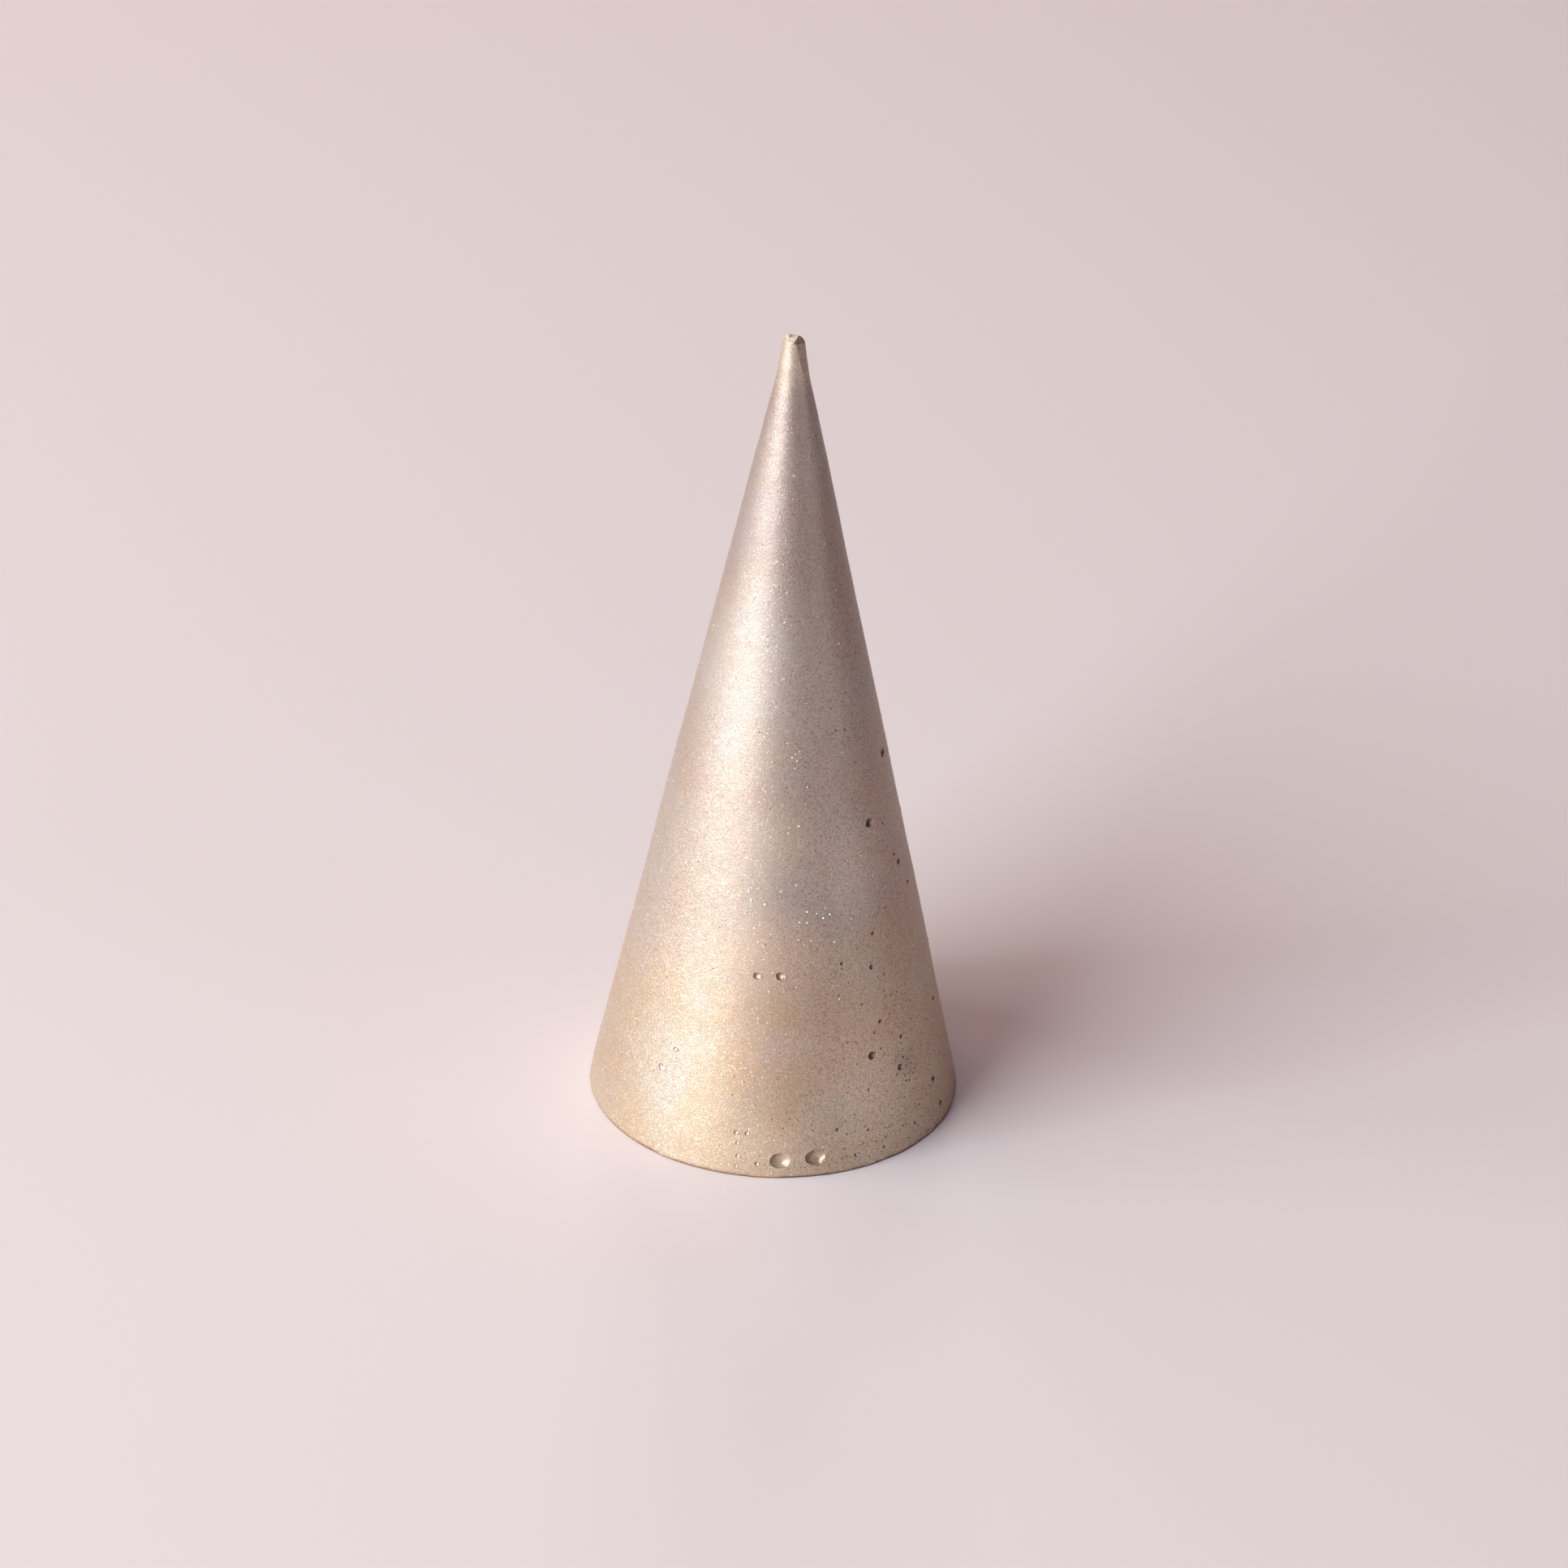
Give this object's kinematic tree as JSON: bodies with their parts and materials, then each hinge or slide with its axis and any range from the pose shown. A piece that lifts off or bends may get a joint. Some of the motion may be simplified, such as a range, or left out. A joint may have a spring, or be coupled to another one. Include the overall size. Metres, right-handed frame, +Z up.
{
  "type": "ring display stand",
  "caption": "Solid cast cone with a blunt, chipped tip and a flat base. Finger rings drop over the tip and rest on the taper. Champagne gold coat with air holes.",
  "frame": {"origin": "centre of the flat base, on the surface it stands on", "axes": "+Z up along the cone's axis to the tip, -Y towards the front, where the two wide air holes are"},
  "size_m": [0.041, 0.041, 0.0903],
  "materials": {
    "gold_coated_concrete": "fine cast concrete under a satin champagne gold sprayed coat, with air holes, grit and a sparkle of metal flake"
  },
  "bodies": {
    "root": {"cast_cone": "gold_coated_concrete"}
  },
  "joints": []
}
